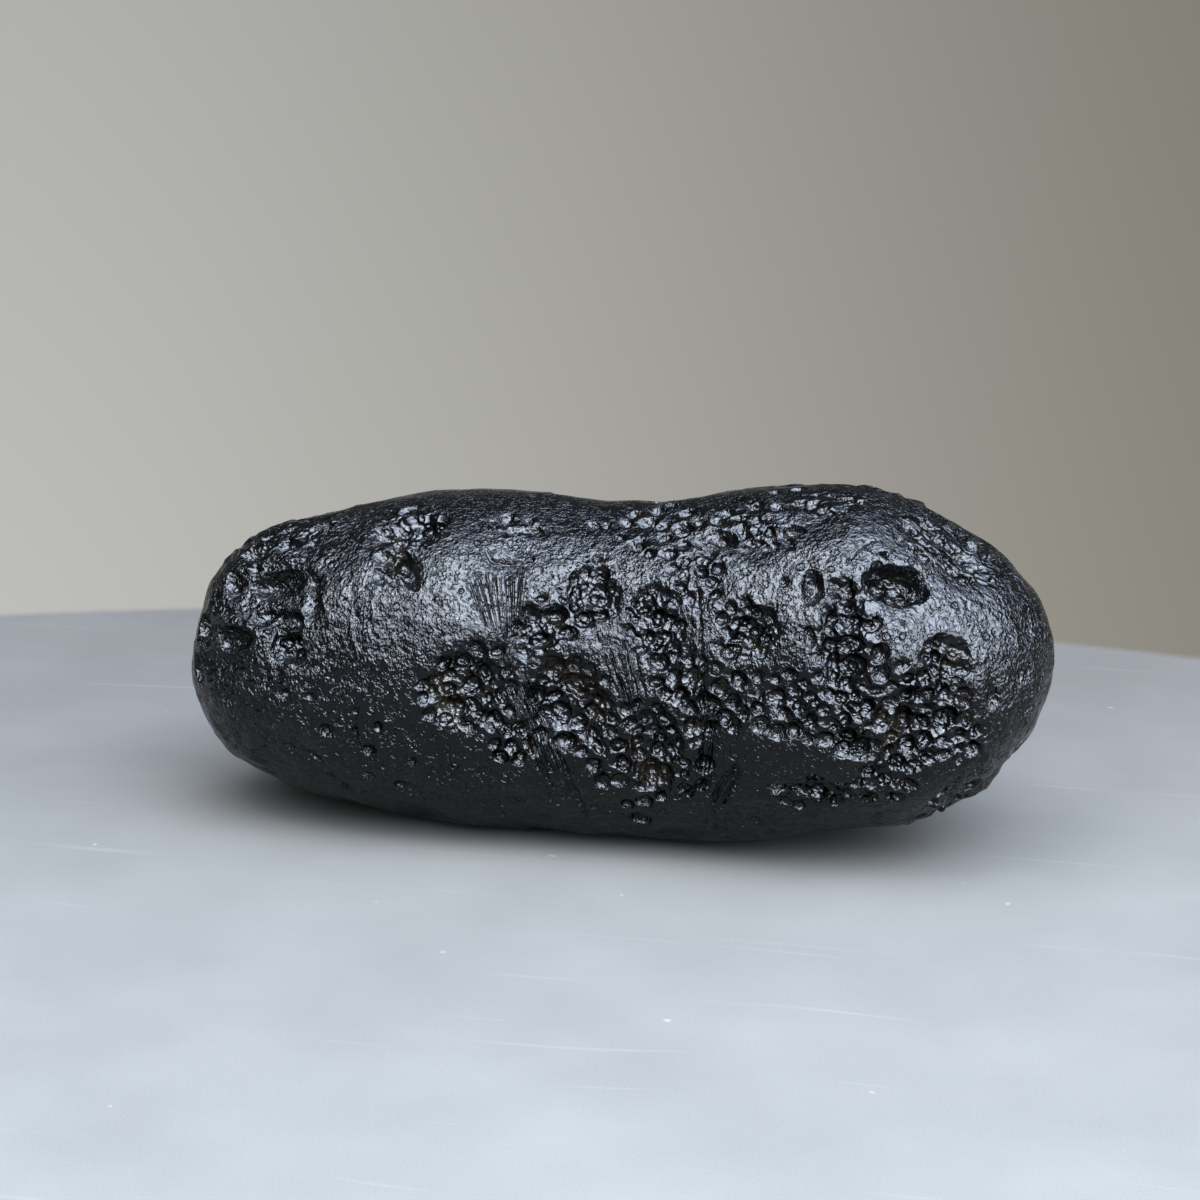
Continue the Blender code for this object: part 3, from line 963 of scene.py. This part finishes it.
def glass_material():
    """Jet black glass: a satin skin cut by fine wrinkles, pits and flow lines, and glossy bubble pits."""
    material, nodes, shader = new_material("black glass")
    shader.inputs["IOR"].default_value = GLASS_IOR
    place = nodes.add("ShaderNodeTexCoord").outputs["Object"]
    bent = nodes.bent(place, 900.0, 0.0005)
    pitted, deep, torn, lined = (nodes.attribute(name) for name in ("pitted", "deep", "torn", "lined"))
    pitted = nodes.math("MULTIPLY", pitted, nodes.math("MULTIPLY_ADD", lined, -0.9, 1.0))

    unpitted = nodes.math("MULTIPLY_ADD", pitted, -0.8, 1.0)
    height = nodes.math("MULTIPLY", skin_bumps(nodes, place, bent), unpitted)
    height = nodes.math("MULTIPLY_ADD", foam_bumps(nodes, place, bent), pitted, height)
    lowered = nodes.math("MULTIPLY", beside_crests(nodes, place), torn)
    height = nodes.math("MULTIPLY_ADD", lowered, CRESTS * MM, height)
    height = nodes.math("MULTIPLY_ADD", nodes.noise(place, 1000.0, 2.0, 0.55), SWELL * MM, height)
    cut = nodes.math("MULTIPLY", flow_cuts(nodes), lined)
    height = nodes.math("MULTIPLY_ADD", cut, CUTS * MM, height)
    bump = nodes.add("ShaderNodeBump", Strength=1.0, Distance=1.0, Height=height)
    nodes.feed(shader.inputs["Normal"], bump.outputs["Normal"])

    satin = nodes.remap(nodes.noise(place, 300.0, 3.0), 0.3, 0.7, *SATIN_ROUGHNESS)
    glossy = nodes.math("MAXIMUM", pitted, torn)
    nodes.feed(shader.inputs["Roughness"], nodes.mix(glossy, satin, GLOSSY_ROUGHNESS, "FLOAT"))

    dirt = nodes.remap(nodes.noise(place, 220.0, 4.0), 0.52, 0.66, 0.0, 1.0)
    dirt = nodes.math("MULTIPLY", dirt, nodes.math("MULTIPLY", deep, pitted))
    nodes.feed(shader.inputs["Base Color"], nodes.mix(dirt, GLASS, DIRT))
    return material


def make_stone():
    rng = np.random.default_rng(STONE_SEED)
    coarse = coarse_body()
    guide = guide_tree(coarse)
    fine = fine_body(coarse)
    relief = Relief(fine, guide)
    press_show_side(relief, rng)
    press_hidden_sides(relief, rng)
    displaced(fine, relief)
    shown = np.empty(len(fine.vertices))
    shown[relief.order] = relief.shown
    mesh = thinned(fine, shown)
    fit_to_frame(mesh)
    mesh.name = "tektite glass"
    mesh.shade_smooth()
    mesh.materials.clear()
    mesh.materials.append(glass_material())
    stone = add_mesh("tektite_glass", mesh)
    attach(stone, "root")
    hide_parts("tektite")


def table_material():
    """A matt, pale table top with dust and fine scratches, and painted light: lighter towards the camera and
    the right.
    """
    material, nodes, shader = new_material("table top")
    place = nodes.add("ShaderNodeTexCoord").outputs["Object"]
    parts = nodes.add("ShaderNodeSeparateXYZ", Vector=place)
    # Painted light: the colour grows lighter towards the camera.
    toward = nodes.remap(parts.outputs["Y"], 0.07, -0.15, 0.0, 1.0)
    # Painted light: the colour is darker to the left and lighter to the right.
    sideways = nodes.remap(parts.outputs["X"], -0.06, 0.08, 0.88, 1.04)
    dust = nodes.cells(nodes.bent(place, 300.0, 0.002), 260.0)
    speck = nodes.remap(dust.outputs["Distance"], 0.03, 0.09, 1.0, 0.0)
    speck = nodes.math("MULTIPLY", speck, nodes.some(dust, 0.16))
    bent = nodes.bent(place, 20.0, 0.01)
    turned = nodes.add("ShaderNodeMapping", Vector=bent, Rotation=(0, 0, 0.5), Scale=(30.0, 700.0, 1.0))
    streak = nodes.remap(nodes.noise(turned.outputs[0], 1.0, 2.0), 0.66, 0.76, 0.0, 1.0)
    grain = nodes.math("SUBTRACT", nodes.noise(place, 5000.0, 2.0), 0.5)
    bright = nodes.remap(nodes.noise(place, 60.0, 4.0), 0.3, 0.7, 0.93, 1.05)
    for mark, strength in ((grain, 0.22), (speck, 0.45), (streak, 0.16)):
        bright = nodes.math("MULTIPLY_ADD", mark, strength, bright)
    # The painted light from left to right is laid over the tone, dust and scratches.
    bright = nodes.math("MULTIPLY", bright, sideways)
    # Painted light: the colour runs from the shaded far tone to the lit near tone.
    colour = nodes.vector("SCALE", nodes.mix(toward, TABLE_FAR_SHADED, TABLE_NEAR_LIT), bright)
    nodes.feed(shader.inputs["Base Color"], colour)
    shader.inputs["Roughness"].default_value = 0.7
    shader.inputs["Specular IOR Level"].default_value = 0.0
    outward = nodes.vector("DISTANCE", place, TABLE_MIDDLE * MM)
    inner, outer = (TABLE_RADIUS - TABLE_FADE) * MM, TABLE_RADIUS * MM
    rim = nodes.add("ShaderNodeMixShader", Fac=nodes.remap(outward, inner, outer, 1.0, 0.0, "SMOOTHSTEP"))
    nodes.feed(rim.inputs[1], nodes.add("ShaderNodeBsdfTransparent").outputs[0])
    nodes.feed(rim.inputs[2], shader.outputs[0])
    nodes.feed(material.node_tree.nodes["Material Output"].inputs["Surface"], rim.outputs[0])
    return material


def make_table():
    """A round table top. Its far edge shows behind the stone."""
    bm = bmesh.new()
    moved = Matrix.Translation(TABLE_MIDDLE * MM)
    bmesh.ops.create_circle(bm, cap_ends=True, segments=256, radius=TABLE_RADIUS * MM, matrix=moved)
    mesh = bpy.data.meshes.new("table")
    bm.to_mesh(mesh)
    bm.free()
    mesh.materials.append(table_material())
    add_mesh("table", mesh)


def wall_colour(nodes, direction):
    """The wall's warm grey in a direction from the stone. It is lighter on the left and low down."""
    parts = nodes.add("ShaderNodeSeparateXYZ", Vector=direction)
    sideways = nodes.remap(parts.outputs["X"], -0.5, 0.22, 0.0, 1.0, "SMOOTHSTEP")
    upward = nodes.remap(parts.outputs["Z"], -0.26, 0.1, 1.045, 0.82)
    return nodes.vector("SCALE", nodes.mix(sideways, WALL_LEFT, WALL_RIGHT), upward)


def make_backdrop():
    """A pale wall all round, which only the camera sees."""
    bm = bmesh.new()
    bmesh.ops.create_uvsphere(bm, u_segments=64, v_segments=32, radius=3.0)
    bmesh.ops.reverse_faces(bm, faces=bm.faces)
    mesh = bpy.data.meshes.new("wall")
    bm.to_mesh(mesh)
    bm.free()
    mesh.shade_smooth()
    material = bpy.data.materials.new("pale wall")
    material.use_nodes = True
    material.node_tree.nodes.clear()
    nodes = Nodes(material.node_tree)
    place = nodes.add("ShaderNodeTexCoord").outputs["Object"]
    direction = nodes.add("ShaderNodeVectorMath", {"operation": "NORMALIZE"}, Vector=place).outputs[0]
    glow = nodes.add("ShaderNodeEmission", Color=wall_colour(nodes, direction))
    nodes.add("ShaderNodeOutputMaterial", Surface=glow.outputs[0])
    mesh.materials.append(material)
    wall = add_mesh("wall", mesh)
    wall.visible_diffuse = wall.visible_glossy = wall.visible_transmission = wall.visible_shadow = False


def toward_light(over, aside):
    """A direction from the stone: degrees over it from the front horizon, and degrees to the right."""
    over, aside = math.radians(over), math.radians(aside)
    return Vector((math.sin(aside), -math.cos(aside) * math.cos(over), math.cos(aside) * math.sin(over)))


def make_lamp(name, colour, radiance, over, aside, reach, width):
    """A square lamp that faces the stone. Its width is in degrees as the stone sees it."""
    toward = toward_light(over, aside)
    side = 2 * reach * math.tan(math.radians(width) / 2) * MM
    data = bpy.data.lights.new(name, "AREA")
    data.shape, data.size, data.color = "SQUARE", side, colour
    data.energy = radiance * math.pi * side * side
    lamp = bpy.data.objects.new(name, data)
    lamp.visible_camera = False
    bpy.context.scene.collection.objects.link(lamp)
    turned = toward.to_track_quat("Z", "Y").to_matrix().to_4x4()
    lamp.matrix_world = Matrix.Translation((STONE_MIDDLE + toward * reach) * MM) @ turned


def soft_glow(nodes, direction, colour, radiance, over, aside, inner, outer):
    """A round glow in the room's light, fading from its inner to its outer angle."""
    facing = nodes.vector("DOT_PRODUCT", direction, toward_light(over, aside))
    low, high = math.cos(math.radians(outer)), math.cos(math.radians(inner))
    share = nodes.remap(facing, low, high, 0.0, radiance, "SMOOTHSTEP")
    return nodes.vector("SCALE", colour, share)


def make_lights():
    make_lamp("lamp", (0.97, 0.98, 1.0), radiance=26.0, over=58.0, aside=-14.0, reach=400.0, width=12.0)
    world = bpy.data.worlds.new("room")
    bpy.context.scene.world = world
    world.use_nodes = True
    nodes = Nodes(world.node_tree)
    direction = nodes.add("ShaderNodeTexCoord").outputs["Generated"]
    parts = nodes.add("ShaderNodeSeparateXYZ", Vector=direction)
    behind = nodes.remap(parts.outputs["Y"], 0.3, 0.8, 0.0, 1.0)
    low = nodes.remap(parts.outputs["Z"], -0.1, 0.08, 1.0, 0.0)
    light = nodes.mix(nodes.math("MULTIPLY", behind, low), ROOM_GREY, wall_colour(nodes, direction))
    for glow in ROOM_GLOWS:
        light = nodes.vector("ADD", light, soft_glow(nodes, direction, *glow))
    nodes.feed(world.node_tree.nodes["Background"].inputs["Color"], light)


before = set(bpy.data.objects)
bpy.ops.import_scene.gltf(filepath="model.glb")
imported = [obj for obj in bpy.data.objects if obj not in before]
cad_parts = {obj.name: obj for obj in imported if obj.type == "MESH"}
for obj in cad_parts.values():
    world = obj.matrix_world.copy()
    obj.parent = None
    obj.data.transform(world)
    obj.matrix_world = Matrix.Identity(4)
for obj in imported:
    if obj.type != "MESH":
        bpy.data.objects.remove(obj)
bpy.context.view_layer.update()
make_camera()
make_table()
make_backdrop()
make_lights()
make_stone()
